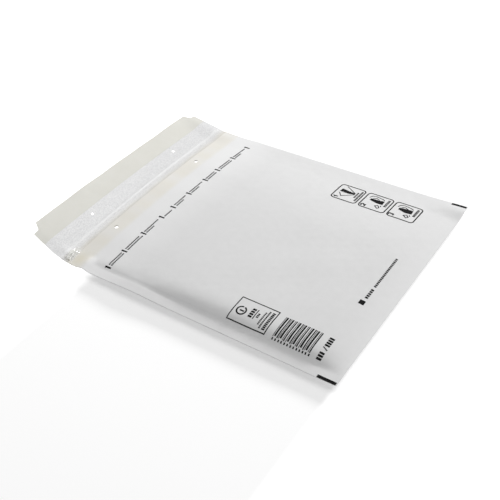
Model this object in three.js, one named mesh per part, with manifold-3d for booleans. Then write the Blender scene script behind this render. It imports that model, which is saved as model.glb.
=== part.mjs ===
// A padded postal envelope, about 240 mm by 275 mm when closed, lying on its
// back with its flap open. One web of white paper is folded across the bottom,
// so that the short front panel, the long back panel and the flap are one piece.
// A bag of bubble film lines it, a line of glue holds the film to the front panel
// at the mouth, and the flap carries a line of adhesive under a release strip.
//
// Millimetres, +Z up. While the pieces are made, y = 0 is the bottom fold and
// z = 0 is the surface that the envelope lies on. At the end everything moves
// so that the origin is under the middle of the whole box.

import * as THREE from 'three';
import { mergeVertices } from 'three/addons/utils/BufferGeometryUtils.js';
import Module from 'manifold-3d';

// ---------------------------------------------------------------- dimensions

const WIDTH = 240;
const SEAM = 10; // flat margin outside the pocket, on each side
const FRONT_END = 267.5; // the front panel's free edge, from the bottom fold
const CREASE = 275; // where the flap hinges on the back panel
const FLAP_END = 307.5;
const FLAP_INSET = 4; // the sides step in by this much on their way to the flap
const INSET_LENGTH = 10; // and do so this far before and past the crease
const FLAP_SLOPE = 0.31; // how the flap rises at the crease,
const FLAP_CURL = 0.002; // how much more it does with each millimetre past it
const FLAP_TWIST = 2.5; // and how far its end is turned up on the left

const PAPER = 0.2;
const FILM = 0.3; // the liner where its bubbles are pressed flat
const BUBBLES = 2.8; // the liner where they are not
const GLUE = 0.15;
const GAP = 0.15; // clearance between two pieces that lie on each other

const SEAM_HEIGHT = 7; // middle of the side seams above the table
const FRONT_SWELL = 5.1; // how far the front panel stands above the seams
const FRONT_CROWN = 0.5; // and how much more it does in the middle
const MOUTH_ARCH = 4; // how far it stands above them in the middle of the mouth
const SLOPE_WIDTH = 9; // width of the slope from a seam up to the front
const BACK_SLOPE_WIDTH = 12;
const FOLD_SWELL = 1.2; // half the thickness that the bottom fold has
const FOLD_LENGTH = 14; // the panels reach their full height this far from it
const MOUTH_START = 190; // the front panel begins to take the mouth's arch here
const MOUTH_FULL = 250; // and has it from here on
const LIFT_START = 270.5; // the back panel leaves the table here
const CREASE_ARCH = 3.6; // the crease stands this much higher in the middle
const ARCH_LEFT = 0.5; // what is left of its arch at the flap's end

const GLUE_START = 250; // the glue line between the front panel and the liner
const GLUE_END = 264;
const GLUE_HALF = 104;

const LINER_START = 2.5; // the liner's bottom fold
const LINER_END = 266;
const POCKET_START = 6;
const POCKET_HALF = 106; // half the width between the liner's own side seams
const BUBBLES_HALF = 96; // half the width that has full bubbles
const BUBBLES_END = 242; // no bubbles stand past here, on the way to the mouth
const DIP_LENGTH = 12; // the liner dips under the glue line over this length

const HOLE_RADIUS = 2;
const HOLES_ACROSS = [-62.9, 57.1];
const HOLE_TO_CREASE = 14.6;

const STRIP_START = 295; // the release strip's inner edge, on the flap
const STRIP_END = 314.3;
const STRIP_THICK = 0.15;
const STRIP_NOTCH = 4; // the strip's sides step in by this much past the flap's end
const STRIP_BEVEL = 6; // and by this much more on their way to its own end
const NOTCH_RUN = 0.3;
const ADHESIVE_MARGIN = 2; // from each edge of the strip's bonded part

const CUT_PAST = 1; // how far a cutting shape runs out past what it cuts
const CUT_HEIGHT = 60; // above everything
const HOLE_SIDES = 12;
const MERGE_DISTANCE = 1e-5;

// ------------------------------------------------------------ surface shape

const HALF = WIDTH / 2;
const POUCH_HALF = HALF - SEAM;
const SEAM_HALF_THICK = PAPER + GAP + FILM / 2;

function smooth(from, to, value) {
  const t = THREE.MathUtils.clamp((value - from) / (to - from), 0, 1);
  return t * t * (3 - 2 * t);
}

// Half width of the sheet: full along the body, stepping in at the crease.
function halfWidth(y) {
  return HALF - FLAP_INSET * smooth(CREASE - INSET_LENGTH, CREASE + INSET_LENGTH, y);
}

// Half width of the release strip: the flap's own, then past the flap's end a
// notch and a bevel.
function stripHalfWidth(y) {
  if (y <= FLAP_END) return halfWidth(y);
  const start = FLAP_END + NOTCH_RUN;
  const bevel = (y - start) / (STRIP_END - start);
  return halfWidth(FLAP_END) - STRIP_NOTCH - STRIP_BEVEL * bevel;
}

// 0 at the bottom fold, 1 where the panels are full.
function foldShare(y) {
  const t = THREE.MathUtils.clamp(y / FOLD_LENGTH, 0, 1);
  return Math.sqrt(1 - (1 - t) ** 2);
}

// 1 in the middle of a span, 0 at its two ends, as a parabola.
function arch(x, half) {
  return Math.max(0, 1 - (x / half) ** 2);
}

// Outside of the front panel: a level top with a slope down to each seam, which
// gives way to one low arch at the mouth.
function frontTop(x, y) {
  const across = smooth(0, SLOPE_WIDTH, POUCH_HALF - Math.abs(x));
  const full = across * (FRONT_SWELL + FRONT_CROWN * arch(x, POUCH_HALF));
  const swell = THREE.MathUtils.lerp(across * FOLD_SWELL, full, foldShare(y));
  const atMouth = MOUTH_ARCH * arch(x, POUCH_HALF);
  const rise = THREE.MathUtils.lerp(swell, atMouth, smooth(MOUTH_START, MOUTH_FULL, y));
  return SEAM_HEIGHT + SEAM_HALF_THICK + rise;
}

// How far the flap stands above the side seams, from the crease on.
function flapRise(x, y) {
  const past = y - CREASE;
  const share = past / (FLAP_END - CREASE);
  const archLeft = CREASE_ARCH * THREE.MathUtils.lerp(1, ARCH_LEFT, share);
  const twist = (FLAP_TWIST * share * x) / HALF;
  return past * (FLAP_SLOPE + past * FLAP_CURL) + archLeft * arch(x, HALF) - twist;
}

// How far the back panel has risen from the table to the crease, 0 to 1.
function liftShare(y) {
  return THREE.MathUtils.clamp((y - LIFT_START) / (CREASE - LIFT_START), 0, 1);
}

// Outside of the back panel, and of the flap that goes on from it.
function backBottom(x, y) {
  const under = SEAM_HEIGHT - SEAM_HALF_THICK;
  if (y >= CREASE) return under + flapRise(x, y);
  const across = smooth(0, BACK_SLOPE_WIDTH, POUCH_HALF - Math.abs(x));
  const swell = THREE.MathUtils.lerp(FOLD_SWELL, under, foldShare(y));
  const lying = under - across * swell;
  return THREE.MathUtils.lerp(lying, under + flapRise(x, CREASE), liftShare(y));
}

// Inside of the back panel and the flap. The sheet is measured upright, so it
// takes more where it climbs steeply to the crease.
function backInside(x, y) {
  const steep = 4 * liftShare(y) * (1 - liftShare(y));
  return backBottom(x, y) + PAPER * (1 + steep);
}

// The liner is full of bubbles in the pouch, and pressed flat in the side
// seams, at its bottom fold and at the mouth.
function linerThick(x, y) {
  const across = smooth(BUBBLES_HALF, POCKET_HALF, Math.abs(x));
  const fold = 1 - smooth(LINER_START, FOLD_LENGTH, y);
  const mouth = smooth(MOUTH_START, BUBBLES_END, y);
  const pressed = Math.max(across, fold, mouth);
  return THREE.MathUtils.lerp(BUBBLES, FILM / 2, pressed);
}

// The liner lies under the front panel, and under the glue line at the mouth.
function linerTop(x, y) {
  const glued = smooth(GLUE_START - DIP_LENGTH, GLUE_START, y);
  const across = 1 - smooth(GLUE_HALF, POUCH_HALF, Math.abs(x));
  return frontTop(x, y) - PAPER - GAP - glued * across * (GLUE + GAP);
}

function linerBottom(x, y) {
  return backInside(x, y) + GAP;
}

// ------------------------------------------------------------- mesh helpers

// Grid lines across and along the sheet, closer together where it bends.
const HALF_LINES = [0, 30, 60, 84, 96, 101, 103.5, 106, 108, 110, 120];
const ACROSS = [...HALF_LINES.slice(1).reverse().map((x) => -x), ...HALF_LINES];
const ALONG = [0, 0.5, 1.5, LINER_START, 4, POCKET_START, 9, FOLD_LENGTH, 60, 125, MOUTH_START,
  202, 214, 226, 238, GLUE_START, 256, GLUE_END, LINER_END, FRONT_END - 0.1];
const STRIP_MIDDLE = (STRIP_START + FLAP_END) / 2;
const ON_STRIP = [STRIP_START, STRIP_MIDDLE, FLAP_END];
const PAST_FRONT = [FRONT_END, LIFT_START, 272, 273.5, CREASE, 280, 285, 290, ...ON_STRIP];

// A closed body between two surfaces given over a grid, x lines by y lines. The
// lines across follow the sheet's width, and every body splits its squares the
// same way, so that bodies lying on each other stay parallel.
function slab(acrossLines, alongLines, top, bottom, halfWidthAt = halfWidth) {
  const columns = acrossLines.length;
  const rows = alongLines.length;
  const points = [];
  for (const surface of [top, bottom]) {
    for (const y of alongLines) {
      for (const line of acrossLines) {
        const x = (line * halfWidthAt(y)) / HALF;
        points.push(x, y, surface(x, y));
      }
    }
  }
  const at = (layer, row, column) => (layer * rows + row) * columns + column;
  const faces = [];
  const square = (a, b, c, d) => faces.push(a, b, c, a, c, d);
  for (let row = 0; row + 1 < rows; row += 1) {
    for (let column = 0; column + 1 < columns; column += 1) {
      square(at(0, row, column), at(0, row, column + 1), at(0, row + 1, column + 1),
        at(0, row + 1, column));
      faces.push(at(1, row, column), at(1, row + 1, column + 1), at(1, row, column + 1));
      faces.push(at(1, row, column), at(1, row + 1, column), at(1, row + 1, column + 1));
    }
    const last = columns - 1;
    square(at(1, row, last), at(1, row + 1, last), at(0, row + 1, last), at(0, row, last));
    square(at(1, row + 1, 0), at(1, row, 0), at(0, row, 0), at(0, row + 1, 0));
  }
  for (let column = 0; column + 1 < columns; column += 1) {
    const end = rows - 1;
    square(at(1, 0, column), at(1, 0, column + 1), at(0, 0, column + 1), at(0, 0, column));
    square(at(1, end, column + 1), at(1, end, column), at(0, end, column),
      at(0, end, column + 1));
  }
  const geometry = new THREE.BufferGeometry();
  geometry.setAttribute('position', new THREE.Float32BufferAttribute(points, 3));
  geometry.setIndex(faces);
  return geometry;
}

const wasm = await Module();
wasm.setup();

function toSolid(geometry) {
  const bare = geometry.clone();
  bare.deleteAttribute('normal');
  bare.deleteAttribute('uv');
  const merged = mergeVertices(bare, MERGE_DISTANCE);
  return new wasm.Manifold(new wasm.Mesh({
    numProp: 3,
    vertProperties: new Float32Array(merged.attributes.position.array),
    triVerts: new Uint32Array(merged.index.array),
  }));
}

function toGeometry(solid) {
  const mesh = solid.getMesh();
  const geometry = new THREE.BufferGeometry();
  geometry.setAttribute('position', new THREE.BufferAttribute(mesh.vertProperties, 3));
  geometry.setIndex(new THREE.BufferAttribute(mesh.triVerts, 1));
  geometry.computeVertexNormals();
  return geometry;
}

// An upright punch at x, y, long enough to go through everything.
function punch(x, y) {
  const geometry = new THREE.CylinderGeometry(HOLE_RADIUS, HOLE_RADIUS, 2 * CUT_HEIGHT,
    HOLE_SIDES);
  geometry.rotateX(Math.PI / 2);
  geometry.translate(x, y, 0);
  return toSolid(geometry);
}

function punched(solid, rows) {
  let left = solid;
  for (const y of rows) {
    for (const x of HOLES_ACROSS) left = left.subtract(punch(x, y));
  }
  return left;
}

const PANEL_HOLES = CREASE - HOLE_TO_CREASE;
const FLAP_HOLES = CREASE + HOLE_TO_CREASE * Math.cos(Math.atan(FLAP_SLOPE));

// ------------------------------------------------------------------- pieces

// The paper: a solid pillow with the room between its two panels taken out.
// The cut runs out through both sides, so the panels meet only at the bottom
// fold, and past the front edge it opens upwards and leaves the back panel
// and the flap.
function paperSheet() {
  const lines = [...ALONG, ...PAST_FRONT];
  const above = (x, y) => backInside(x, y) + PAPER;
  const outerTop = (x, y) => (y < FRONT_END ? frontTop(x, y) : above(x, y));
  const pillow = toSolid(slab(ACROSS, lines, outerTop, backBottom));

  const wide = [-HALF - CUT_PAST, ...ACROSS.slice(1, -1), HALF + CUT_PAST];
  const opened = (x, y) => (y < FRONT_END ? frontTop(x, y) - PAPER : CUT_HEIGHT);
  const cutLines = [...lines.slice(1, -1), FLAP_END + CUT_PAST];
  const room = toSolid(slab(wide, cutLines, opened, backInside));
  return toGeometry(punched(pillow.subtract(room), [PANEL_HOLES, FLAP_HOLES]));
}

// The liner: a bag of bubble film, closed along its bottom fold and its side
// margins, which lie between the two layers of paper, and open at the mouth.
function bubbleLiner() {
  const lines = ALONG.filter((y) => y >= LINER_START && y <= LINER_END);
  const bag = toSolid(slab(ACROSS.slice(1, -1), lines, linerTop, linerBottom));

  const pocketAcross = ACROSS.filter((x) => Math.abs(x) <= POCKET_HALF);
  const pocketLines = [...lines.filter((y) => y >= POCKET_START), LINER_END + CUT_PAST];
  const ceiling = (x, y) => linerTop(x, y) - linerThick(x, y);
  const floor = (x, y) => linerBottom(x, y) + linerThick(x, y);
  const pocket = toSolid(slab(pocketAcross, pocketLines, ceiling, floor));
  return toGeometry(punched(bag.subtract(pocket), [PANEL_HOLES]));
}

// The glue line under the front panel at the mouth.
function mouthGlue() {
  const lines = ALONG.filter((y) => y >= GLUE_START && y <= GLUE_END);
  const across = ACROSS.filter((x) => Math.abs(x) < GLUE_HALF);
  const top = (x, y) => frontTop(x, y) - PAPER - GAP;
  const bottom = (x, y) => top(x, y) - GLUE;
  return toGeometry(punched(toSolid(slab(across, lines, top, bottom)), [PANEL_HOLES]));
}

// The adhesive: a band across the flap, covered by the release strip.
function sealAdhesive() {
  const lines = [STRIP_START + ADHESIVE_MARGIN, STRIP_MIDDLE, FLAP_END - ADHESIVE_MARGIN];
  const across = ACROSS.slice(1, -1);
  const bottom = (x, y) => backInside(x, y) + GAP;
  const top = (x, y) => bottom(x, y) + GLUE;
  return toGeometry(toSolid(slab(across, lines, top, bottom)));
}

// The release strip: as wide as the flap where it is stuck down, then set in
// and bevelled where it stands past the flap's end to be gripped.
function releaseStrip() {
  const lines = [...ON_STRIP, FLAP_END + NOTCH_RUN, STRIP_END];
  const bottom = (x, y) => backInside(x, y) + GAP + GLUE + GAP;
  const top = (x, y) => bottom(x, y) + STRIP_THICK;
  return toGeometry(toSolid(slab(ACROSS, lines, top, bottom, stripHalfWidth)));
}

// ----------------------------------------------------------------- assembly

const WHITE_PAPER = { color: 0xe9e9ea, roughness: 0.75, metalness: 0 };
const CLEAR_FILM = { color: 0xdfe4e6, roughness: 0.25, metalness: 0 };
const GLUE_CREAM = { color: 0xe3dcc0, roughness: 0.45, metalness: 0 };
const STRIP_BEIGE = { color: 0xd6d6c6, roughness: 0.5, metalness: 0 };

const PIECES = [
  ['paper_sheet', paperSheet(), WHITE_PAPER],
  ['bubble_liner', bubbleLiner(), CLEAR_FILM],
  ['mouth_glue', mouthGlue(), GLUE_CREAM],
  ['seal_adhesive', sealAdhesive(), GLUE_CREAM],
  ['release_strip', releaseStrip(), STRIP_BEIGE],
];

const envelope = new THREE.Group();
for (const [name, geometry, finish] of PIECES) {
  const mesh = new THREE.Mesh(geometry, new THREE.MeshStandardMaterial(finish));
  mesh.name = name;
  envelope.add(mesh);
}

const box = new THREE.Box3().setFromObject(envelope);
const middle = box.getCenter(new THREE.Vector3());
envelope.position.set(-middle.x, -middle.y, -box.min.z);

export default envelope;
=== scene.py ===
import math

import bpy
import numpy as np
from mathutils import Matrix, Vector


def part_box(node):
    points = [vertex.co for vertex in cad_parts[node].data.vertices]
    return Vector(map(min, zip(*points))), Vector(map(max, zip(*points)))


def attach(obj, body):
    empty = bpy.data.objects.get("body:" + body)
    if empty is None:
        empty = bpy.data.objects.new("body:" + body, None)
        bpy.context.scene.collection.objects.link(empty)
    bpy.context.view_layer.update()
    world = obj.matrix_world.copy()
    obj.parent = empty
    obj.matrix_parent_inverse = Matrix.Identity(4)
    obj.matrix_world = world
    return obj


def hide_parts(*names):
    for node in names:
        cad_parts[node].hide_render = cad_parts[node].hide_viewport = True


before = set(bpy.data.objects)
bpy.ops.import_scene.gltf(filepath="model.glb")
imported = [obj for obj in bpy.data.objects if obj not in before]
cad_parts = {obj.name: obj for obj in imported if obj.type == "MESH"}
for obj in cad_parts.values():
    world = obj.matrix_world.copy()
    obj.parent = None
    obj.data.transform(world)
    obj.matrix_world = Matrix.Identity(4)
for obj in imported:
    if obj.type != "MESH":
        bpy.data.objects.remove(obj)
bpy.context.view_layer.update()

# ------------------------------------------------------------------ the table
# The envelope lies on a table top of white opal acrylic that glows with painted light,
# dim in a band under the pouch. A broad soft box hangs over it, a smaller and stronger
# one stands low on its right and a weak one behind it, in a white room.

# The camera looks down at it from beyond its bottom left corner.
CAMERA_AT = Vector((-0.45586, -0.34315, 0.46164))
CAMERA_HEADING = math.radians(52.92)  # from +Y towards +X
CAMERA_TILT = math.radians(40.16)  # below the horizon
CAMERA_ROLL = math.radians(4.59)  # its right side is the lower one
CAMERA_LENS = 58.37  # millimetres
CAMERA_SENSOR = 36

camera_data = bpy.data.cameras.new("camera")
camera_data.lens = CAMERA_LENS
camera_data.sensor_width = CAMERA_SENSOR
camera = bpy.data.objects.new("camera", camera_data)
bpy.context.scene.collection.objects.link(camera)
turn = Matrix.Rotation(-CAMERA_HEADING, 4, "Z")
tip = Matrix.Rotation(math.pi / 2 - CAMERA_TILT, 4, "X")
roll = Matrix.Rotation(-CAMERA_ROLL, 4, "Z")
camera.matrix_world = Matrix.Translation(CAMERA_AT) @ turn @ tip @ roll
bpy.context.scene.camera = camera
bpy.context.scene.view_settings.view_transform = "Standard"


def linear(hex_colour):
    """A hex sRGB colour as the linear RGBA that the sockets take."""
    shares = [int(hex_colour[i:i + 2], 16) / 255 for i in (1, 3, 5)]
    return (*[s / 12.92 if s <= 0.04045 else ((s + 0.055) / 1.055) ** 2.4 for s in shares], 1)


def add(tree, kind, inputs=None, **settings):
    """Adds a node. An input takes a value, or the node or socket that it is linked from."""
    node = tree.nodes.new("ShaderNode" + kind)
    for name, value in settings.items():
        setattr(node, name, value)
    for name, value in (inputs or {}).items():
        if isinstance(value, bpy.types.Node):
            value = value.outputs[2] if value.type == "MIX" else value.outputs[0]
        if isinstance(value, bpy.types.NodeSocket):
            tree.links.new(value, node.inputs[name])
        else:
            node.inputs[name].default_value = value
    return node


def new_material(name):
    """An empty node material and its tree."""
    material = bpy.data.materials.new(name)
    material.use_nodes = True
    material.node_tree.nodes.clear()
    return material, material.node_tree


# Opal acrylic, cast smooth: it has no pattern. Its glow is painted light, which lightens
# the soft shadows under the pouch. Under the flap and at the bottom fold it glows white,
# and the shadows there all but vanish.
DIM_MIDDLE = -0.035  # metres along the table, the middle of the dim band
DIM_TO = 0.117  # metres from there, where the glow begins to rise
BRIGHT_FROM = 0.136  # and where it is full
DIM_GLOW = 0.36
BRIGHT_GLOW = 0.95
acrylic_with_painted_glow, tree = new_material("acrylic_with_painted_glow")
table_place = add(tree, "SeparateXYZ", {"Vector": add(tree, "TexCoord").outputs["Object"]})
along = add(tree, "Math", {0: table_place.outputs["Y"], 1: -DIM_MIDDLE}, operation="ADD")
from_middle = add(tree, "Math", {0: along}, operation="ABSOLUTE")
strength = add(tree, "MapRange", {"Value": from_middle, "From Min": DIM_TO,
                                  "From Max": BRIGHT_FROM, "To Min": DIM_GLOW,
                                  "To Max": BRIGHT_GLOW})
surface = add(tree, "BsdfDiffuse", {"Color": linear("#D1D1D1")})
# The emission is painted light: the table glows, though it is no lamp.
glow = add(tree, "Emission", {"Color": linear("#FFFFFF"), "Strength": strength})
surface_and_painted_glow = add(tree, "AddShader", {0: surface, 1: glow})
add(tree, "OutputMaterial", {"Surface": surface_and_painted_glow})

TABLE_HALF = 8.0
ROOM_LIGHT = 0.335
corners = [(-TABLE_HALF, -TABLE_HALF, 0), (TABLE_HALF, -TABLE_HALF, 0),
           (TABLE_HALF, TABLE_HALF, 0), (-TABLE_HALF, TABLE_HALF, 0)]
table_mesh = bpy.data.meshes.new("table")
table_mesh.from_pydata(corners, [], [(0, 1, 2, 3)])
table_mesh.materials.append(acrylic_with_painted_glow)
table = bpy.data.objects.new("table", table_mesh)
bpy.context.scene.collection.objects.link(table)

room = bpy.data.worlds.new("room")
room.use_nodes = True
room.node_tree.nodes["Background"].inputs["Color"].default_value = linear("#FFFFFF")
room.node_tree.nodes["Background"].inputs["Strength"].default_value = ROOM_LIGHT
bpy.context.scene.world = room


def soft_light(name, direction, distance, width, power):
    """A round soft box that faces the middle of the table from this direction.
    Its distance and width are in metres and its power in watts."""
    data = bpy.data.lights.new(name, "AREA")
    data.shape = "DISK"
    data.size = width
    data.energy = power
    light = bpy.data.objects.new(name, data)
    light.location = Vector(direction).normalized() * distance
    light.rotation_mode = "QUATERNION"
    light.rotation_quaternion = Vector(direction).to_track_quat("Z", "Y")
    bpy.context.scene.collection.objects.link(light)


soft_light("overhead_box", (0.25, 0.14, 0.96), 1.3, 1.2, 7.6)
soft_light("low_right_box", (0.91, -0.2, 0.335), 2.6, 0.54, 67)
soft_light("low_back_box", (0.15, 0.92, 0.36), 1.7, 0.6, 4)

# ---------------------------------------------------------------- paper_sheet
# One web of bleached kraft paper, about 0.12 mm thick. It is folded once across
# the bottom, so the short front panel, the long back panel and the flap are one
# piece; its side margins are sealed, and two pairs of holes are punched in it.

MM = 0.001  # lengths from here on are in millimetres, from the bottom fold
paper_low, paper_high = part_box("paper_sheet")
strip_low, strip_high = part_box("release_strip")
glue_low, glue_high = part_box("mouth_glue")
FOLD = paper_low.y
HALF = paper_high.x / MM
FLAP_END = (paper_high.y - FOLD) / MM
STRIP_START = (strip_low.y - FOLD) / MM
STRIP_END = (strip_high.y - FOLD) / MM
GLUE_START = (glue_low.y - FOLD) / MM
GLUE_END = (glue_high.y - FOLD) / MM

PAPER = 0.12
SEAM = 10  # width of a sealed margin
POUCH_HALF = HALF - SEAM
FRONT_END = GLUE_END + 3.5  # the front panel's edge, just past the glue line
CREASE = 275  # the back panel ends here and the flap begins
LIFT_START = 236  # the back panel leaves the table here
LIFT_END = 260  # and lies close under the front panel here
FLAP_INSET = 2.5  # each side of the flap tapers in this much by its end
HOLE_RADIUS = 2
FLAP_HOLE_RADIUS = 1.3  # the film that lines the flap has closed in on the cut
HOLES_ACROSS = (-62.9, 57.1)  # 120 mm apart
HOLE_TO_CREASE = 14.6  # with the flap shut, its holes lie over the panels' holes
FLAP_LEVEL_SHARE = 0.955  # cosine of the open flap's slope
PANEL_HOLES = CREASE - HOLE_TO_CREASE
FLAP_HOLES = CREASE + HOLE_TO_CREASE * FLAP_LEVEL_SHARE

SEAM_HEIGHT = 7  # the swollen back panel holds the sealed margins this far up
LIP_DROOP = 0.6  # the outer edge of a sealed margin hangs this much lower
LIP_HALF = 0.25  # from the middle of a sealed margin to the middle of each sheet
LEFT_LIP_FROM, LEFT_LIP_TO = 102, 112  # from the middle; the left curls die out inwards
RIGHT_LIP_FROM, RIGHT_LIP_TO = 96, 114
# Place along, reach and rise of each curl in a margin.
LEFT_CURLS = [(21, 25, -0.5), (195, 25, 1.2), (251, 5, 1.7), (275, 7, 1.8)]
RIGHT_CURLS = [(0, 24, 1.8), (284, 18, 2.2)]
RIGHT_LIFT = 0.4  # the whole right margin stands this much higher

FRONT_SWELL = 5.1  # the front panel stands this far above the margins,
FRONT_CROWN = 0.5  # and this much more down its middle
NEAR_SHOULDER = 26  # it rounds over within this of its left margin,
FAR_SHOULDER = 90  # within this of its right margin,
FOLD_LENGTH = 45  # and within this of the bottom fold
CORNER_SLACK = 20  # the left shoulder is this much wider at the bottom corner
CORNER_REACH = 18  # and narrows again within about this of it
BACK_SHOULDER = 14  # the back panel rounds over within this of either margin
SETTLE = 0.25
PUCKER = 0.22
PUCKER_AT = 103  # from the middle
MOUTH_START = 108  # from here on, the panel's swell eases off
MOUTH_FULL = 262  # to an arch across the mouth
MOUTH_ARCH = 4
MOUTH_WAVE = 0.15
MOUTH_GAP = 0.5  # more room between the panels, in the middle of the mouth
TUCK = 1.3  # towards the mouth, the panel steps up this much just inside its left seam
TUCK_WIDTH = 9
TUCK_START, TUCK_END = 225, 262  # the step fades out between these
CREASE_ARCH = 3.6  # the crease bows up this much in its middle
RIDGE = 1.15  # the crease itself, creased sharp and opened again
RIDGE_AT, RIDGE_WIDTH = CREASE + 1.2, 1.8
VALLEY = 0.75  # and the dip that it leaves beside it
VALLEY_AT, VALLEY_WIDTH = CREASE - 4.5, 2.5
FLAP_SLOPE = 0.31  # rise of the flap for each millimetre past the crease
FLAP_CURL = 0.002  # and how fast it steepens
FLAP_TWIST = 2.5  # its end hangs this much lower on the right, and higher on the left
BUBBLE_PITCH = 11  # from one bubble of the lining to the next
BUBBLE_ROWS = 9.5  # from one row of bubbles to the next
PRINT_DEPTH = 0.07  # how far a bubble marks the paper
PRINT_RADIUS = 4  # the print fades out at about this far from the bubble's middle
PAPER_PITCH = 2  # the mesh's own spacing


def smooth(start, end, value):
    """0 before the start and 1 past the end, with an eased rise between them."""
    t = np.clip((value - start) / (end - start), 0, 1)
    return t * t * (3 - 2 * t)


def mix(a, b, share):
    """a where the share is 0 and b where it is 1."""
    return a + (b - a) * share


def bump(value, centre, width):
    """1 at the centre, fading to nothing at about twice the width from it."""
    return np.exp(-((value - centre) / width) ** 2)


def arch(x, half):
    """1 in the middle of a span and 0 at its ends."""
    return np.maximum(0, 1 - (x / half) ** 2)


def wave(along, lengths):
    """A wandering line between -1 and 1, from a few wavelengths that don't agree."""
    parts = [np.sin(2 * np.pi * along / length + 1.7 * i) for i, length in enumerate(lengths)]
    return sum(parts) / len(parts)


def half_width(y):
    """Half the web's width, which tapers in from the crease to the flap's end."""
    return HALF - FLAP_INSET * np.clip((y - CREASE) / (FLAP_END - CREASE), 0, 1)


def shoulder(distance, width, power):
    """A rise from 0 to 1 that is steepest at its foot and rounds off at its top."""
    return 1 - (1 - np.clip(distance / width, 0, 1)) ** power


def fold_share(y, start=0):
    """0 at the bottom fold and 1 where the panels are full."""
    return shoulder(y - start, FOLD_LENGTH, 2)


def from_bubble(x, y):
    """Distance to the nearest bubble's middle, and a number from 0 to 1 that looks random
    but is always the same for that bubble."""
    nearest = np.full(np.broadcast(x, y).shape, 1e9)
    chance = np.zeros_like(nearest)
    for nudge in (0, 1):
        row = np.floor(y / BUBBLE_ROWS) + nudge
        shift = 0.5 * np.mod(row, 2)
        column = np.round(x / BUBBLE_PITCH - shift)
        distance = np.hypot(x - (column + shift) * BUBBLE_PITCH, y - row * BUBBLE_ROWS)
        closer = distance < nearest
        draw = np.abs(np.sin(column * 12.99 + row * 78.23) * 43758.5) % 1
        nearest = np.where(closer, distance, nearest)
        chance = np.where(closer, draw, chance)
    return nearest, chance


def bubble_print(x, y):
    """The shallow relief that the lining's bubbles press into the paper."""
    distance, chance = from_bubble(x, y)
    return PRINT_DEPTH * (0.3 + chance) * bump(distance, 0, PRINT_RADIUS)


def lip_wave(x, y):
    """How far the sealed margins curl up or down along each side."""
    left = sum(rise * bump(y, place, reach) for place, reach, rise in LEFT_CURLS)
    right = RIGHT_LIFT + sum(rise * bump(y, place, reach) for place, reach, rise in RIGHT_CURLS)
    droop = LIP_DROOP * np.clip((np.abs(x) - POUCH_HALF) / SEAM, 0, 1)
    return (left * smooth(LEFT_LIP_FROM, LEFT_LIP_TO, -x)
            + right * smooth(RIGHT_LIP_FROM, RIGHT_LIP_TO, x) - droop)


def front_height(x, y):
    """Middle of the front panel's thickness. It settles in long shallow waves, and
    puckers beside the seams."""
    near = NEAR_SHOULDER + CORNER_SLACK * bump(y, 0, CORNER_REACH)
    inside = np.where(x < 0, shoulder(POUCH_HALF + x, near, 4),
                      shoulder(POUCH_HALF - x, FAR_SHOULDER, 2))
    settled = SETTLE * wave(y + 0.3 * x, (83, 131, 59)) * wave(x - 0.2 * y, (97, 61))
    pucker = PUCKER * bump(np.abs(x), PUCKER_AT, 4) * wave(y + 3 * np.sign(x), (23, 14.5, 37))
    full = inside * (FRONT_SWELL + FRONT_CROWN * arch(x, POUCH_HALF) + settled
                     + bubble_print(x, y)) + pucker
    tuck = shoulder(POUCH_HALF + x, TUCK_WIDTH, 2) * shoulder(POUCH_HALF - x, FAR_SHOULDER, 2)
    tuck = tuck * (1 - smooth(TUCK_START, TUCK_END, y))
    at_mouth = (MOUTH_ARCH * arch(x, POUCH_HALF) + TUCK * tuck
                + MOUTH_WAVE * inside * wave(x, (41, 67)))
    rise = mix(full, at_mouth, smooth(MOUTH_START, MOUTH_FULL, y))
    return SEAM_HEIGHT + lip_wave(x, y) + fold_share(y) * (LIP_HALF + rise)


def flap_rise(x, y):
    """How far the flap stands above the sealed margins, from the crease on."""
    past = y - CREASE
    share = past / (FLAP_END - CREASE)
    arch_left = CREASE_ARCH * mix(1, 0.5, share)
    twist = FLAP_TWIST * share * x / HALF
    return past * (FLAP_SLOPE + past * FLAP_CURL) + arch_left * arch(x, HALF) - twist


def back_height(x, y):
    """Middle of the back panel's thickness, and of the flap's that goes on from it."""
    under = SEAM_HEIGHT - LIP_HALF
    inside = shoulder(POUCH_HALF - np.abs(x), BACK_SHOULDER, 3)
    sink = (under - PAPER) * inside - bubble_print(x + 4, y + 3) * inside
    lying = SEAM_HEIGHT + lip_wave(x, y) - fold_share(y) * (LIP_HALF + sink)
    creased = RIDGE * bump(y, RIDGE_AT, RIDGE_WIDTH) - VALLEY * bump(y, VALLEY_AT, VALLEY_WIDTH)
    risen = under + lip_wave(x, y) + flap_rise(x, np.maximum(y, CREASE)) + creased * arch(x, HALF)
    under_front = front_height(x, np.minimum(y, FRONT_END)) - 2 * LIP_HALF
    under_front -= MOUTH_GAP * arch(x, POUCH_HALF)
    risen = mix(np.minimum(risen, under_front), risen, smooth(FRONT_END, CREASE, y))
    return mix(lying, risen, smooth(LIFT_START, LIFT_END, y))


def lines_between(stops, pitch):
    """Grid lines through every stop, about one pitch apart."""
    lines = [stops[0]]
    for start, end in zip(stops, stops[1:]):
        steps = max(1, round(abs(end - start) / pitch))
        lines.extend(np.linspace(start, end, steps + 1)[1:])
    return np.array(lines)


HOLE_BLOCK = 3  # a punched hole sits in a block of cells this far out each way
RING_SHARES = (0.4, 0.75, 1)  # rings of cells from that block in to the cut edge
SLOPE_STEP = 0.1  # taken each way to find the slope of a surface
KEEP_STRAIGHT = 100  # grid lines inside this don't follow the web's width
HAIR = 0.01  # grid lines nearer than this count as one


def across_lines(pitch, half=HALF):
    """Grid lines across the web, with a block of cells centred on each hole."""
    stops = [-half, -POUCH_HALF] if half > POUCH_HALF else [-half]
    for hole in HOLES_ACROSS:
        stops += [hole - HOLE_BLOCK, hole, hole + HOLE_BLOCK]
    stops += [POUCH_HALF, half] if half > POUCH_HALF else [half]
    return lines_between(stops, pitch)


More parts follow.
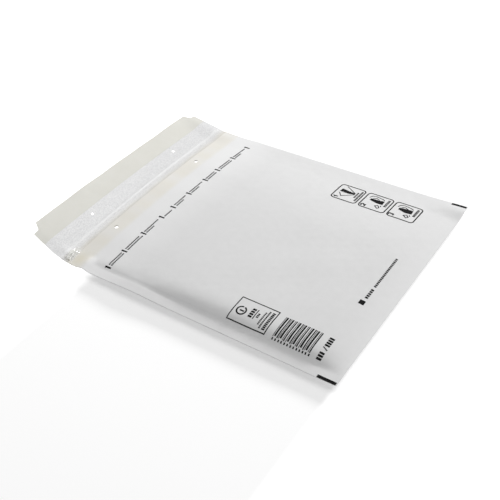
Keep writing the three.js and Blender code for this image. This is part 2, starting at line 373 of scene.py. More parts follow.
def follow_width(line, y, width_at):
    """Where a grid line lies across the web at a place along it."""
    outer = np.maximum(0, np.abs(line) - KEEP_STRAIGHT)
    squeeze = (width_at(y) - KEEP_STRAIGHT) / (HALF - KEEP_STRAIGHT)
    return np.sign(line) * (np.minimum(np.abs(line), KEEP_STRAIGHT) + outer * squeeze)


def normals_of(points):
    """The unit normal at each point of a grid."""
    along = np.gradient(points, axis=0)
    across = np.gradient(points, axis=1)
    normal = np.cross(along, across)
    return normal / np.linalg.norm(normal, axis=2, keepdims=True)


def ring_patch(side, height, hole, loop, points, normals, faces, where):
    """Fills the block round one punched hole with rings of cells down to the cut edge."""
    square = np.array([where[i][:2] for i in loop])
    away = square - np.array(hole)
    radius = FLAP_HOLE_RADIUS if hole[1] > CREASE else HOLE_RADIUS
    circle = np.array(hole) + radius * away / np.linalg.norm(away, axis=1, keepdims=True)
    previous = loop
    for share in RING_SHARES:
        ring = []
        for x, y in mix(square, circle, share):
            right, left = height(x + SLOPE_STEP, y), height(x - SLOPE_STEP, y)
            beyond, before = height(x, y + SLOPE_STEP), height(x, y - SLOPE_STEP)
            up = np.array([float(left - right), float(before - beyond), 2 * SLOPE_STEP])
            ring.append(len(points))
            points.append([x, y, float(height(x, y))])
            normals.append(side * up / np.linalg.norm(up))
            where.append((x, y, side))
        for a in range(len(loop)):
            b = (a + 1) % len(loop)
            faces.append((previous[a], previous[b], ring[b], ring[a]))
        previous = ring


def web(rows, columns, heights, width_at=half_width, hole_rows=()):
    """A grid laid over a stretch of the web: its points, outward normals, faces, and
    for each point its place across, its place along and its side (1 front, -1 back).
    rows is a list of (side, place along); hole_rows lists those with punched holes."""
    sides = np.array([side for side, _ in rows])
    along = np.array([y for _, y in rows])
    x = follow_width(columns[None, :], along[:, None], width_at)
    y = np.broadcast_to(along[:, None], x.shape)
    z = np.where(sides[:, None] > 0, heights[1](x, y), heights[-1](x, y))
    grid = np.stack([x, y, z], axis=2)
    normal = normals_of(grid)
    if sides[0] * (along[1] - along[0]) > 0:  # the rows run against the web
        normal = -normal
    width = len(columns)
    points = grid.reshape(-1, 3).tolist()
    normals = list(normal.reshape(-1, 3))
    where = list(zip(x.ravel(), y.ravel(), np.repeat(sides, width)))
    skipped = set()
    patches = []
    for side, place in hole_rows:
        for across in HOLES_ACROSS:
            block_rows = [r for r in range(len(rows))
                          if rows[r][0] == side and abs(along[r] - place) < HOLE_BLOCK + HAIR]
            block_columns = [c for c in range(width)
                             if abs(columns[c] - across) < HOLE_BLOCK + HAIR]
            first_row, last_row = min(block_rows), max(block_rows)
            first_column, last_column = min(block_columns), max(block_columns)
            skipped.update((r, c) for r in range(first_row, last_row)
                           for c in range(first_column, last_column))
            loop = [(r, first_column) for r in range(first_row, last_row)]
            loop += [(last_row, c) for c in range(first_column, last_column)]
            loop += [(r, last_column) for r in range(last_row, first_row, -1)]
            loop += [(first_row, c) for c in range(last_column, first_column, -1)]
            patches.append((side, (across, place), [r * width + c for r, c in loop]))
    faces = []
    for r in range(len(rows) - 1):
        for c in range(width - 1):
            if (r, c) not in skipped:
                a = r * width + c
                faces.append((a, a + width, a + width + 1, a + 1))
    for side, hole, loop in patches:
        ring_patch(side, heights[side], hole, loop, points, normals, faces, where)
    return np.array(points), np.array(normals), faces, np.array(where)


SHARP_FROM = math.radians(50)  # an edge that turns further than this is shaded sharp


def thick_sheet(name, surface, outwards, inwards, materials):
    """Turns a web grid into a closed sheet: one skin on each side and a rim at every edge.
    outwards and inwards are its thickness to each side of the grid."""
    points, normals, faces, _ = surface
    outwards = np.broadcast_to(outwards, len(points))[:, None]
    inwards = np.broadcast_to(inwards, len(points))[:, None]
    skins = np.vstack([points + normals * outwards, points - normals * inwards])
    count = len(points)
    edges = set()
    for face in faces:
        edges.update(zip(face, face[1:] + face[:1]))
    rim = [(b, a, a + count, b + count) for a, b in edges if (b, a) not in edges]
    inner = [tuple(i + count for i in reversed(face)) for face in faces]
    sheet_mesh = bpy.data.meshes.new(name)
    sheet_mesh.from_pydata(to_frame(skins), [], faces + inner + rim)
    for material in materials:
        sheet_mesh.materials.append(material)
    inner_index = len(materials) - 1
    indices = [0] * len(faces) + [inner_index] * len(inner) + [0] * len(rim)
    sheet_mesh.polygons.foreach_set("material_index", indices)
    smoothed = [True] * len(faces + inner) + [False] * len(rim)
    sheet_mesh.polygons.foreach_set("use_smooth", smoothed)
    sheet_mesh.set_sharp_from_angle(angle=SHARP_FROM)
    sheet_mesh.update()
    piece = bpy.data.objects.new(name, sheet_mesh)
    bpy.context.scene.collection.objects.link(piece)
    return piece


def to_frame(points):
    """Millimetres from the bottom fold, turned to the frame's metres."""
    return (np.asarray(points) * MM + np.array([0, FOLD, 0])).tolist()


LET_THROUGH = 0.15  # share of the light that comes out at the sheet's back


def paper_material(name, base, shade, cream):
    """Bleached kraft, calendered on one side: matte and nearly white, with a cloudy
    formation a few millimetres across and fibres under a millimetre long. A little of
    the light that falls on it comes out at the back, which keeps its shadows soft."""
    material, tree = new_material(name)
    place = add(tree, "TexCoord").outputs["Object"]
    cloud = add(tree, "TexNoise", {"Vector": place, "Scale": 1 / (7 * MM), "Detail": 4})
    # real fibres are 0.03 mm wide; they are drawn at 0.5 mm so that they show
    fibre = add(tree, "TexNoise", {"Vector": place, "Scale": 1 / (0.5 * MM), "Detail": 5,
                                   "Roughness": 0.7})
    colour = add(tree, "Mix", {0: cloud, 6: linear(shade), 7: linear(base)}, data_type="RGBA")
    tint = add(tree, "Attribute", attribute_name="cream_and_painted_shade").outputs["Fac"]
    # The colour is painted lighter towards the mouth and at the bottom fold: painted light.
    painted_brightening = add(tree, "Attribute", attribute_name="painted_light").outputs["Fac"]
    colour = add(tree, "Mix", {0: painted_brightening, 6: colour, 7: linear("#EEEEEE")}, data_type="RGBA")
    colour = add(tree, "Mix", {0: tint, 6: colour, 7: linear(cream)}, data_type="RGBA")
    relief = add(tree, "Bump", {"Height": cloud, "Strength": 0.25, "Distance": 0.4 * MM})
    relief = add(tree, "Bump", {"Height": fibre, "Strength": 0.25, "Distance": 0.08 * MM,
                                "Normal": relief})
    skin = add(tree, "BsdfPrincipled", {"Base Color": colour, "Roughness": 0.8, "IOR": 1.4,
                                        "Normal": relief})
    through = add(tree, "BsdfTranslucent", {"Color": colour, "Normal": relief})
    sheet = add(tree, "MixShader", {0: LET_THROUGH, 1: skin, 2: through})
    add(tree, "OutputMaterial", {"Surface": sheet})
    return material


# The outside shows cream where the glue line lies behind it at the mouth.
kraft_outside = paper_material("bleached_kraft_outside", "#E3E3E3", "#DDDDDD", "#E3DDCB")


def embossed_film_material(name):
    """Low-density polyethylene film welded to the inside of the flap: a fine pebbled grain,
    under a millimetre, in its relief. The bright and dark specks where it catches the light are
    painted into its colour: painted glints."""
    material, tree = new_material(name)
    place = add(tree, "TexCoord").outputs["Object"]
    grain = add(tree, "TexNoise", {"Vector": place, "Scale": 1 / (0.9 * MM), "Detail": 3,
                                   "Roughness": 0.75})
    cloud = add(tree, "TexNoise", {"Vector": place, "Scale": 1 / (9 * MM), "Detail": 4})
    # Painted glints: bright and dark specks in the colour, following the grain.
    painted_glint_specks = add(tree, "MapRange", {"Value": grain, "From Min": 0.4, "From Max": 0.6})
    colour = add(tree, "Mix", {0: painted_glint_specks, 6: linear("#D3D3D4"), 7: linear("#EDEDED")},
                 data_type="RGBA")
    # On the inside, past the front panel's edge, the cream is partly painted shade.
    tint = add(tree, "Attribute", attribute_name="cream_and_painted_shade").outputs["Fac"]
    colour = add(tree, "Mix", {0: tint, 6: colour, 7: linear("#DDD5C0")}, data_type="RGBA")
    # The colour is painted near white along the crease: a painted highlight.
    painted_light = add(tree, "Attribute", attribute_name="painted_light").outputs["Fac"]
    colour = add(tree, "Mix", {0: painted_light, 6: colour, 7: linear("#FDFDFD")}, data_type="RGBA")
    relief = add(tree, "Bump", {"Height": cloud, "Strength": 0.2, "Distance": 0.4 * MM})
    relief = add(tree, "Bump", {"Height": grain, "Strength": 0.5, "Distance": 0.12 * MM,
                                "Normal": relief})
    skin = add(tree, "BsdfPrincipled", {"Base Color": colour, "Roughness": 0.25, "IOR": 1.51,
                                        "Normal": relief})
    through = add(tree, "BsdfTranslucent", {"Color": colour, "Normal": relief})
    sheet = add(tree, "MixShader", {0: LET_THROUGH, 1: skin, 2: through})
    add(tree, "OutputMaterial", {"Surface": sheet})
    return material


film_inside = embossed_film_material("embossed_film_inside")

HEIGHTS = {1: front_height, -1: back_height}
FIRST_ROW = 0.5  # the grid line next to the bottom fold
FINE_FROM, FINE_TO = CREASE - 7, CREASE + 4  # the crease needs finer rows than the rest
FINE_PITCH = 0.75
front_stops = [FRONT_END, PANEL_HOLES + HOLE_BLOCK, PANEL_HOLES, PANEL_HOLES - HOLE_BLOCK,
               FIRST_ROW]
back_stops = [0, FIRST_ROW, PANEL_HOLES - HOLE_BLOCK, PANEL_HOLES, PANEL_HOLES + HOLE_BLOCK,
              CREASE, FLAP_HOLES - HOLE_BLOCK, FLAP_HOLES, FLAP_HOLES + HOLE_BLOCK, FLAP_END]
paper_rows = [(1, y) for y in lines_between(front_stops, PAPER_PITCH)]
back_rows = lines_between(back_stops, PAPER_PITCH)
paper_rows += [(-1, y) for y in back_rows if y < FINE_FROM - 0.5]
paper_rows += [(-1, y) for y in lines_between([FINE_FROM, CREASE, FINE_TO], FINE_PITCH)]
paper_rows += [(-1, y) for y in back_rows if y > FINE_TO + 0.5]
paper_web = web(paper_rows, across_lines(PAPER_PITCH), HEIGHTS,
                hole_rows=[(1, PANEL_HOLES), (-1, PANEL_HOLES), (-1, FLAP_HOLES)])
paper = thick_sheet("paper_sheet_detailed", paper_web, PAPER / 2, PAPER / 2,
                    [kraft_outside, film_inside])

PATCH_AT = (-111, 261)  # where the glue has bled into the left corner of the mouth
SLIT_SHADE_AT = 267.5  # a darker cream band just past the front panel's edge: partly cream like the glue, partly painted shade under that edge


def cream_and_painted_shade(x, y, side):
    """Where glue lies behind the sheet: a soft band at the mouth and a patch at its left corner.
    On the inside, between the mouth and the crease, a cream band that is partly painted shade."""
    band = smooth(GLUE_START - 1, GLUE_START + 5, y) * (0.75 + 0.25 * wave(x, (31, 47, 19)))
    corner = 0.5 * bump(x, PATCH_AT[0], 7) * bump(y, PATCH_AT[1], 6)
    # Painted shade, tinted cream, just past the front panel's edge.
    inside = 0.45 * bump(y, SLIT_SHADE_AT, 4.5) * (0.8 + 0.2 * wave(x, (53, 29)))
    return np.where(side > 0, np.minimum(1, 0.5 * band + corner), inside)


PAINTED_LIGHT_FROM, PAINTED_LIGHT_TO = 190, 245  # the front is painted lighter between these, towards the mouth: painted light
# A painted highlight along the crease, where the ridge catches the light.
CREASE_HIGHLIGHT_AT = CREASE + 1.8
CREASE_HIGHLIGHT_WIDTH = 1.3
CREASE_HIGHLIGHT_HALF = 150  # it fades towards the sides, and would end this far out


def painted_light_share(x, y, side):
    """Painted light. On the film, a painted highlight along the crease. On the paper, painted
    light that makes it whiter towards the mouth and at the fold."""
    painted_brightening = 0.65 * smooth(PAINTED_LIGHT_FROM, PAINTED_LIGHT_TO, y) + 0.35 * bump(y, 0, 16)
    painted_crease_highlight = 0.7 * bump(y, CREASE_HIGHLIGHT_AT, CREASE_HIGHLIGHT_WIDTH) * arch(x, CREASE_HIGHLIGHT_HALF)
    return np.where(side > 0, painted_brightening, painted_crease_highlight)


places = np.tile(paper_web[3], (2, 1))  # both skins of the sheet have the grid's points
tint = paper.data.attributes.new("cream_and_painted_shade", "FLOAT", "POINT")
tint.data.foreach_set("value", cream_and_painted_shade(places[:, 0], places[:, 1], places[:, 2]))
painted_light = paper.data.attributes.new("painted_light", "FLOAT", "POINT")
painted_light.data.foreach_set("value", painted_light_share(places[:, 0], places[:, 1], places[:, 2]))
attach(paper, "root")
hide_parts("paper_sheet")

# ------------------------------------------------------------------- the print
# One black ink, printed on the front panel from a rubber plate before the web is
# folded. Its words are greyed blocks here, and the bars follow no code. Places are
# measured from the middle of the panel and up from the bottom fold.

INK_LIFT = 0.05  # a real film of ink is 0.002 mm thick
INK_STEP = 2  # the longest cell, so that the ink follows the paper
LEAST_MITRE = 0.5  # keeps sharp corners from shooting out
ink_points = []
ink_faces = []


def print_line(stops, width, closed=False):
    """Prints a line through the stops; width may be one number or one for each stop."""
    stops = np.array(stops, float)
    widths = np.broadcast_to(width, len(stops)).astype(float)
    if closed:
        stops = np.vstack([stops, stops[:1]])
        widths = np.append(widths, widths[0])
    path = [stops[0]]
    path_widths = [widths[0]]
    for start, end, from_width, to_width in zip(stops, stops[1:], widths, widths[1:]):
        steps = max(1, math.ceil(np.hypot(*(end - start)) / INK_STEP))
        for share in np.linspace(0, 1, steps + 1)[1:]:
            path.append(mix(start, end, share))
            path_widths.append(mix(from_width, to_width, share))
    path = np.array(path)
    ahead = np.diff(path, axis=0)
    ahead /= np.linalg.norm(ahead, axis=1, keepdims=True)
    before = np.vstack([ahead[-1:] if closed else ahead[:1], ahead])
    after = np.vstack([ahead, ahead[:1] if closed else ahead[-1:]])
    middle = before + after
    middle /= np.linalg.norm(middle, axis=1, keepdims=True)
    mitre = 1 / np.maximum(LEAST_MITRE, np.sum(middle * after, axis=1, keepdims=True))
    aside = np.stack([-middle[:, 1], middle[:, 0]], axis=1) * mitre
    half = np.array(path_widths)[:, None] / 2
    across = max(1, math.ceil(max(path_widths) / INK_STEP))
    first = len(ink_points)
    for flat in zip(*[path + aside * half * share for share in np.linspace(-1, 1, across + 1)]):
        for x, y in flat:
            ink_points.append([x, y, float(front_height(x, y)) + PAPER / 2 + INK_LIFT])
    row = across + 1
    for step in range(len(path) - 1):
        for cell in range(across):
            a = first + step * row + cell
            ink_faces.append((a, a + row, a + row + 1, a + 1))


BLOCK_SHARE = 0.74  # of a letter's pitch that its block fills


def print_word(start, end, y, height, letters):
    """Greyed text: as many upright blocks as the word has letters."""
    pitch = (end - start) / letters
    for i in range(letters):
        middle = start + pitch * (i + 0.5)
        print_line([(middle, y - height / 2), (middle, y + height / 2)],
                   pitch * BLOCK_SHARE)


def arc(middle_x, middle_y, radius, start, end, steps=6):
    """Stops along an arc, from one heading in degrees to another."""
    turns = np.radians(np.linspace(start, end, steps + 1))
    return [(middle_x + radius * np.cos(t), middle_y + radius * np.sin(t)) for t in turns]


def rounded_box(left, right, low, high, radius):
    """Stops round a box whose corners are rounded."""
    return (arc(right - radius, high - radius, radius, 0, 90, 4)
            + arc(left + radius, high - radius, radius, 90, 180, 4)
            + arc(left + radius, low + radius, radius, 180, 270, 4)
            + arc(right - radius, low + radius, radius, 270, 360, 4))


# The two register bars at the corners of the bottom fold.
print_line([(-118.4, 1), (-118.4, 17)], 2.8)
print_line([(118.4, 1), (118.4, 15)], 2.8)

# The label for the paper's source: a frame, a plain ring and lines of text.
print_line([(-106.3, 71.4), (-82.5, 71.4), (-82.5, 106.7), (-106.3, 106.7)], 0.9, closed=True)
print_line(arc(-95.5, 99.6, 4, 0, 345, 14), 1.3)
print_line([(-95.5, 101), (-95.5, 97)], 1.4)
print_word(-98.8, -88.6, 90.4, 3.4, 4)
print_line([(-98.8, 87.2), (-88.4, 87.2)], 0.8)
print_word(-96.5, -91.5, 84.6, 1.9, 3)
print_word(-101.5, -87.8, 80.5, 1.4, 9)
print_word(-104, -85.5, 77.9, 1.4, 12)
print_word(-104.2, -85.3, 74.4, 2.6, 11)

# The bars: widths of bar and gap in modules, one above the other, with a row of
# blocks for digits along their left ends.
BAR_MODULE = 0.5
BARS = [(2, 1), (1, 2), (3, 1), (1, 1), (2, 2), (3, 1), (1, 2)] * 3
BARS_RIGHT = -84
DIGIT_PITCH = 2.7
bar_start = 31
for bar, gap in BARS:
    middle = bar_start + bar * BAR_MODULE / 2
    print_line([(-105 if bar < 3 else -104.2, middle), (BARS_RIGHT, middle)], bar * BAR_MODULE)
    bar_start += (bar + gap) * BAR_MODULE
for digit in range(13):
    height = 31.2 + digit * DIGIT_PITCH
    print_line([(-107.4, height), (-105.6, height + 0.2 * (digit % 2))], 1.2)

# Blocks where the size mark stands, and the maker's line of text.
print_word(-107, -99.5, 23, 4.2, 3)
print_line([(-97, 20.8), (-95, 25.2)], 0.9)
print_word(-94, -84, 23, 4.2, 4)
print_line([(-41.2, 22.8), (-36.4, 22.8)], 4.8)
print_word(-33.5, -21, 22.1, 2.6, 5)
print_word(-18.5, 22, 22.1, 2, 20)

# The three opening steps, in rounded frames one above the other.
STEP_LEFT = 71.9
STEP_RIGHT = 96.7
STEP_LINE = 1.15
NUMBER_LINE = 1.3
THIN_LINE = 0.9
for low, high in [(32.5, 58.1), (61.2, 86.6), (89.8, 115.1)]:
    print_line(rounded_box(STEP_LEFT, STEP_RIGHT, low, high, 3), STEP_LINE, closed=True)
print_line([(73.9, 110.9), (75.1, 112.6), (75.1, 108.6)], NUMBER_LINE)
print_line(arc(75.4, 83.4, 1.4, 170, -40) + [(74, 80.8), (77, 80.8)], NUMBER_LINE)
print_line(arc(75.2, 55.8, 1.2, 160, -80, 5), NUMBER_LINE)
print_line(arc(75.2, 53.5, 1.2, 80, -160, 5), NUMBER_LINE)
# Step 1: a strip is pulled off an open flap.
print_line([(86.6, 96.9), (86.2, 103), (87, 111.5)], [2, 4.2, 5.2])
print_line([(87.4, 97), (95, 109)], THIN_LINE)
print_line([(85.2, 97), (77.4, 107), (82.5, 111)], 0.8)
print_word(80.5, 90.5, 95, 1.7, 7)
print_word(75.8, 94, 92.2, 2, 12)
# Steps 2 and 3: the pouch, with a hand round it that closes it, and an arrow's head.
for low, pouch in [(61.2, 5.4), (32.5, 6.4)]:
    print_line([(87, low + 6.6), (86.4, low + 12.5), (87.2, low + 20)], [6.2, pouch, 3])
    print_line([(89.5, low + 22), (93, low + 20.3), (94, low + 17), (92.8, low + 10.3),
                (91.4, low + 7.4)], THIN_LINE)
    print_line([(89.8, low + 12), (91.2, low + 15.5), (89.6, low + 18.5)], THIN_LINE)
    print_line([(76.4, low + 8.2), (79, low + 11.8), (81, low + 9.4), (78.2, low + 6.8)],
               THIN_LINE, closed=True)
    print_line([(80, low + 6), (81.8, low + 7.2)], THIN_LINE)
    print_word(81.4, 94.2, low + 3.4, 2.5, 7)

# The cutting line across the mouth: ten ticks, with a short text in one or two lines
# between each tick and the next.
TICKS = [-107.5, -85.5, -59, -33, -16, 8, 34, 54, 80, 105]
CUT_LINE = 231
CUT_TEXT = 1.45  # height of its letters
CUT_PITCH = 1.5  # from one letter to the next
UPPER_WORDS = [(-105, -88), (-83, -64), (-57, -37), (), (-13, 4), (10, 30), (36, 50), (57, 76),
               (82, 102)]
LOWER_WORDS = [(-105, -88), (-83, -62), (-57, -46), (-31, -20), (-13, -2), (10, 22), (36, 50),
               (57, 76), (82, 92)]
for tick in TICKS:
    print_line([(tick, CUT_LINE - 3), (tick, CUT_LINE + 2), (tick - 0.4, CUT_LINE + 3.2)],
               [1.4, 1.7, 2.4])
for height, words in [(CUT_LINE + 1.2, UPPER_WORDS), (CUT_LINE - 1.4, LOWER_WORDS)]:
    for ends in filter(None, words):
        print_word(*ends, height, CUT_TEXT, round((ends[1] - ends[0]) / CUT_PITCH))


def ink_material(name):
    """Water-based printing ink, dried matte: nearly black, a little greyer where the
    plate pressed thin between the fibres. Its IOR is below the real 1.5, which would
    turn it grey under the low light."""
    material, tree = new_material(name)
    place = add(tree, "TexCoord").outputs["Object"]
    thin_spots = add(tree, "TexNoise", {"Vector": place, "Scale": 1 / (0.8 * MM), "Detail": 2})
    colour = add(tree, "Mix", {0: thin_spots, 6: linear("#040404"), 7: linear("#161616")},
                 data_type="RGBA")
    film = add(tree, "BsdfPrincipled", {"Base Color": colour, "Roughness": 0.9, "IOR": 1.25})
    add(tree, "OutputMaterial", {"Surface": film})
    return material


ink_mesh = bpy.data.meshes.new("front_print")
ink_mesh.from_pydata(to_frame(ink_points), [], ink_faces)
ink_mesh.materials.append(ink_material("black_plate_ink"))
ink = bpy.data.objects.new("front_print", ink_mesh)
bpy.context.scene.collection.objects.link(ink)
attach(ink, "root")
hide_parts("paper_sheet")

# --------------------------------------------------------------- bubble_liner
# A bag of clear polyethylene bubble film, folded across its bottom and sealed
# down both sides between the two sheets of paper. The bubbles are 9 mm across
# and face the pocket; they are pressed flat at the side seals and the mouth.

liner_low, liner_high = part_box("bubble_liner")
LINER_HALF = liner_high.x / MM
LINER_START = (liner_low.y - FOLD) / MM
LINER_END = (liner_high.y - FOLD) / MM
FILM = 0.08
BUBBLE_RADIUS = 4.6
BUBBLE_HEIGHT = 2.6
LEAST_BUBBLE = 0.85  # share of that height that the flattest bubble has
BUBBLES_HALF = 96  # full bubbles reach this far from the middle
POCKET_HALF = 106  # and the last are flat this far from it
BUBBLES_START, BUBBLES_FULL = 12, 26
BUBBLES_FADE, BUBBLES_END = 220, 236
LINER_DROP = 0.13  # below the paper's middle, clear of its inside
GLUE_DIP = 0.05  # the front film passes this much lower under the glue line
GLUE_DIP_RUN = 12
LINER_PITCH = 1.7


def liner_height(side, height):
    """The film's outside, lying against the paper and under the glue line."""
    def lining(x, y):
        panel = height(x, y)
        share = fold_share(y, LINER_START) / np.maximum(fold_share(y), 0.02)
        middle = SEAM_HEIGHT + lip_wave(x, y)
        under_glue = smooth(GLUE_START - GLUE_DIP_RUN, GLUE_START, y) if side > 0 else 0
        drop = LINER_DROP + GLUE_DIP * under_glue
        return middle + (panel - middle) * share - side * drop * share
    return lining


LINER_HEIGHTS = {1: liner_height(1, front_height), -1: liner_height(-1, back_height)}
liner_stops = [LINER_END, PANEL_HOLES + HOLE_BLOCK, PANEL_HOLES, PANEL_HOLES - HOLE_BLOCK,
               LINER_START + FIRST_ROW]
liner_rows = [(1, y) for y in lines_between(liner_stops, LINER_PITCH)]
liner_rows += [(-1, LINER_START)]
liner_rows += [(-1, y) for y in lines_between(liner_stops[::-1], LINER_PITCH)]
liner_web = web(liner_rows, across_lines(LINER_PITCH, LINER_HALF), LINER_HEIGHTS,
                hole_rows=[(1, PANEL_HOLES), (-1, PANEL_HOLES)])
x, y = liner_web[3][:, 0], liner_web[3][:, 1]
distance, chance = from_bubble(x, y)
dome = np.sqrt(np.maximum(0, 1 - (distance / BUBBLE_RADIUS) ** 2))
open_pocket = ((1 - smooth(BUBBLES_HALF, POCKET_HALF, np.abs(x)))
               * smooth(BUBBLES_START, BUBBLES_FULL, y)
               * (1 - smooth(BUBBLES_FADE, BUBBLES_END, y)))
bubbles = FILM + BUBBLE_HEIGHT * mix(LEAST_BUBBLE, 1, chance) * dome * open_pocket

FILM_GLOSS = 0.5  # the rest of the light goes straight through


def bubble_film_material(name):
    """Blown low-density polyethylene film: clear, soft and glossy, faintly milky, with
    fine creases a few millimetres long where it has been pressed."""
    material, tree = new_material(name)
    place = add(tree, "TexCoord").outputs["Object"]
    creases = add(tree, "TexNoise", {"Vector": place, "Scale": 1 / (3 * MM), "Detail": 2,
                                     "Roughness": 0.4})
    relief = add(tree, "Bump", {"Height": creases, "Strength": 0.4, "Distance": 0.6 * MM})
    gloss = add(tree, "BsdfPrincipled", {"Base Color": linear("#F4F4F2"), "Roughness": 0.12,
                                         "IOR": 1.51, "Normal": relief})
    clear = add(tree, "BsdfTransparent", {"Color": linear("#FDFDFB")})
    film = add(tree, "MixShader", {0: FILM_GLOSS, 1: clear, 2: gloss})
    add(tree, "OutputMaterial", {"Surface": film})
    return material


clear_film = bubble_film_material("clear_bubble_film")
liner = thick_sheet("bubble_liner_detailed", liner_web, 0, bubbles, [clear_film])
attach(liner, "root")
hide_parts("bubble_liner")

# The film's corner stands out of the mouth on the left, crumpled where the side
# seal caught it, in a few sharp folds that run along the mouth.
CRUMPLE_LEFT, CRUMPLE_RIGHT = -117, -101
CRUMPLE_FROM, CRUMPLE_TO = 263, 274
CRUMPLE_FULL = -108  # the folds stand at their full height from here to the left
CRUMPLE_PITCH = 0.4
ZIGZAG_PITCH = 2.9
ZIGZAG_HEIGHT = 1.6
ZIGZAG_SLANT = 0.18
ZIGZAG_WANDER = 0.5
FILM_LIFT = 0.25  # from the middle of the paper to the film that lies on it


def crumpled_height(x, y):
    """Zigzag folds that die out under the front panel and along the mouth."""
    across = (y - ZIGZAG_SLANT * x + ZIGZAG_WANDER * wave(x, (9, 5.3))) / ZIGZAG_PITCH
    zigzag = np.abs(2 * (across % 1) - 1)
    clear_of_panel = smooth(CRUMPLE_FROM + 2, CRUMPLE_FROM + 5, y)
    spread = clear_of_panel * smooth(CRUMPLE_RIGHT, CRUMPLE_FULL, x)
    return back_height(x, y) + FILM_LIFT + ZIGZAG_HEIGHT * zigzag * spread


def even_width(y):
    """For a piece whose grid lines all run straight along the web."""
    return HALF + 0 * y


crumple_rows = [(-1, y) for y in lines_between([CRUMPLE_FROM, CRUMPLE_TO], CRUMPLE_PITCH)]
crumple_columns = lines_between([CRUMPLE_LEFT, CRUMPLE_RIGHT], CRUMPLE_PITCH)
crumple_web = web(crumple_rows, crumple_columns, {1: crumpled_height, -1: crumpled_height},
                  even_width)
crumple = thick_sheet("bubble_liner_corner", crumple_web, 0, FILM, [clear_film])
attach(crumple, "root")
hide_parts("bubble_liner")

# ----------------------------------------------------------------- mouth_glue
# A thin line of cream hot-melt glue, rolled on across the mouth, that holds the
# bubble film to the inside of the front panel.

GLUE_HALF = glue_high.x / MM
GLUE = 0.05
CLEAR = 0.02  # a gap that keeps two skins from sharing a surface
GLUE_PITCH = 3


def glue_height(x, y):
    """The side of the glue line that is on the film."""
    return front_height(x, y) - PAPER / 2 - CLEAR - GLUE


def glue_material(name, base, shade):
    """Hot-melt or pressure-sensitive glue: soft, waxy and a little uneven, with ridges
    2 or 3 millimetres apart from the roller that spread it."""
    material, tree = new_material(name)
    place = add(tree, "TexCoord").outputs["Object"]
    ridges = add(tree, "TexNoise", {"Vector": place, "Scale": 1 / (2.5 * MM), "Detail": 3})
    colour = add(tree, "Mix", {0: ridges, 6: linear(shade), 7: linear(base)}, data_type="RGBA")
    relief = add(tree, "Bump", {"Height": ridges, "Strength": 0.4, "Distance": 0.2 * MM})
    wax = add(tree, "BsdfPrincipled", {"Base Color": colour, "Roughness": 0.35, "IOR": 1.48,
                                       "Normal": relief})
    add(tree, "OutputMaterial", {"Surface": wax})
    return material


cream_hot_melt = glue_material("cream_hot_melt", "#E6DEC2", "#D9CFAE")
glue_stops = [GLUE_END, PANEL_HOLES + HOLE_BLOCK, PANEL_HOLES, PANEL_HOLES - HOLE_BLOCK,
              GLUE_START]
glue_rows = [(1, y) for y in lines_between(glue_stops, PAPER_PITCH)]
glue_web = web(glue_rows, across_lines(GLUE_PITCH, GLUE_HALF), {1: glue_height, -1: glue_height},
               hole_rows=[(1, PANEL_HOLES)])
glue = thick_sheet("mouth_glue_line", glue_web, GLUE, 0, [cream_hot_melt])
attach(glue, "root")
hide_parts("mouth_glue")

# -------------------------------------------------------------- seal_adhesive
# The band of clear pressure-sensitive adhesive across the flap, which seals the
# envelope once the release strip is peeled off. The strip covers all of it.

adhesive_low, adhesive_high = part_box("seal_adhesive")
ADHESIVE_HALF = adhesive_high.x / MM
ADHESIVE = 0.05


def above_flap(clearance):
    """A surface that lies this far above the inside of the flap."""
    return lambda x, y: back_height(x, y) + PAPER / 2 + clearance


clear_tack = glue_material("clear_pressure_sensitive", "#E8E4D2", "#DDD6BC")
adhesive_stops = [(adhesive_low.y - FOLD) / MM, (adhesive_high.y - FOLD) / MM]
adhesive_rows = [(-1, y) for y in lines_between(adhesive_stops, PAPER_PITCH)]
adhesive_web = web(adhesive_rows, lines_between([-ADHESIVE_HALF, ADHESIVE_HALF], GLUE_PITCH),
                   {1: above_flap(CLEAR), -1: above_flap(CLEAR)}, even_width)
adhesive = thick_sheet("seal_adhesive_band", adhesive_web, 0, ADHESIVE, [clear_tack])
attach(adhesive, "root")
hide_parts("seal_adhesive")

# -------------------------------------------------------------- release_strip
# A strip of beige silicone-coated paper stuck down over the adhesive. It is as
# wide as the flap there; past the flap's end it is notched in and bevelled, so
# that a thumb can start the peel.

STRIP = 0.08
STRIP_NOTCH = 6
STRIP_BEVEL = 4
NOTCH_RUN = 0.3  # the notch is cut nearly square, within this of the flap's end
STRIP_WAVE = 0.5
STRIP_PITCH = 3
FREE_PITCH = 1.5  # finer rows where it stands free
ON_FLAP = 0.03  # clearance at its inner edge, which lies on the film
ON_ADHESIVE = 0.1  # and over the adhesive


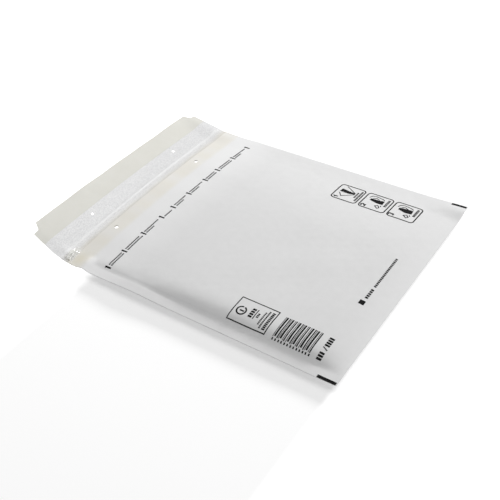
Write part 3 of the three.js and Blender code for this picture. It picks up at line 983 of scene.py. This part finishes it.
def strip_half_width(y):
    """The flap's width, then a notch and a bevel past the flap's end."""
    past = np.clip((y - FLAP_END - NOTCH_RUN) / (STRIP_END - FLAP_END - NOTCH_RUN), 0, 1)
    notched = half_width(FLAP_END) - STRIP_NOTCH - STRIP_BEVEL * past
    return np.where(y <= FLAP_END + HAIR, half_width(y), notched)


def strip_height(x, y):
    """On the adhesive, and waving a little where it stands free."""
    free = smooth(FLAP_END - 1, STRIP_END, y)
    clearance = mix(ON_FLAP, ON_ADHESIVE, smooth(STRIP_START, STRIP_START + 2, y))
    return above_flap(clearance)(x, y) + free * STRIP_WAVE * wave(x, (71, 43, 118))


def release_paper_material(name):
    """Siliconised kraft release paper: beige, smooth and faintly shiny, with a cloudy
    look from the uneven sheet under the coating."""
    material, tree = new_material(name)
    place = add(tree, "TexCoord").outputs["Object"]
    cloud = add(tree, "TexNoise", {"Vector": place, "Scale": 1 / (14 * MM), "Detail": 3})
    fibre = add(tree, "TexNoise", {"Vector": place, "Scale": 1 / (0.6 * MM), "Detail": 4,
                                   "Roughness": 0.7})
    colour = add(tree, "Mix", {0: cloud, 6: linear("#CDCCC4"), 7: linear("#D5D4CE")},
                 data_type="RGBA")
    relief = add(tree, "Bump", {"Height": cloud, "Strength": 0.3, "Distance": 0.5 * MM})
    relief = add(tree, "Bump", {"Height": fibre, "Strength": 0.15, "Distance": 0.06 * MM,
                                "Normal": relief})
    coated = add(tree, "BsdfPrincipled", {"Base Color": colour, "Roughness": 0.42, "IOR": 1.45,
                                          "Normal": relief})
    add(tree, "OutputMaterial", {"Surface": coated})
    return material


siliconised_paper = release_paper_material("siliconised_release_paper")
strip_rows = [(-1, y) for y in lines_between([STRIP_START, FLAP_END], PAPER_PITCH)]
strip_rows += [(-1, y) for y in lines_between([FLAP_END + NOTCH_RUN, STRIP_END], FREE_PITCH)]
strip_web = web(strip_rows, lines_between([-HALF, HALF], STRIP_PITCH),
                {1: strip_height, -1: strip_height}, strip_half_width)
strip = thick_sheet("release_strip_detailed", strip_web, 0, STRIP, [siliconised_paper])
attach(strip, "root")
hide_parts("release_strip")
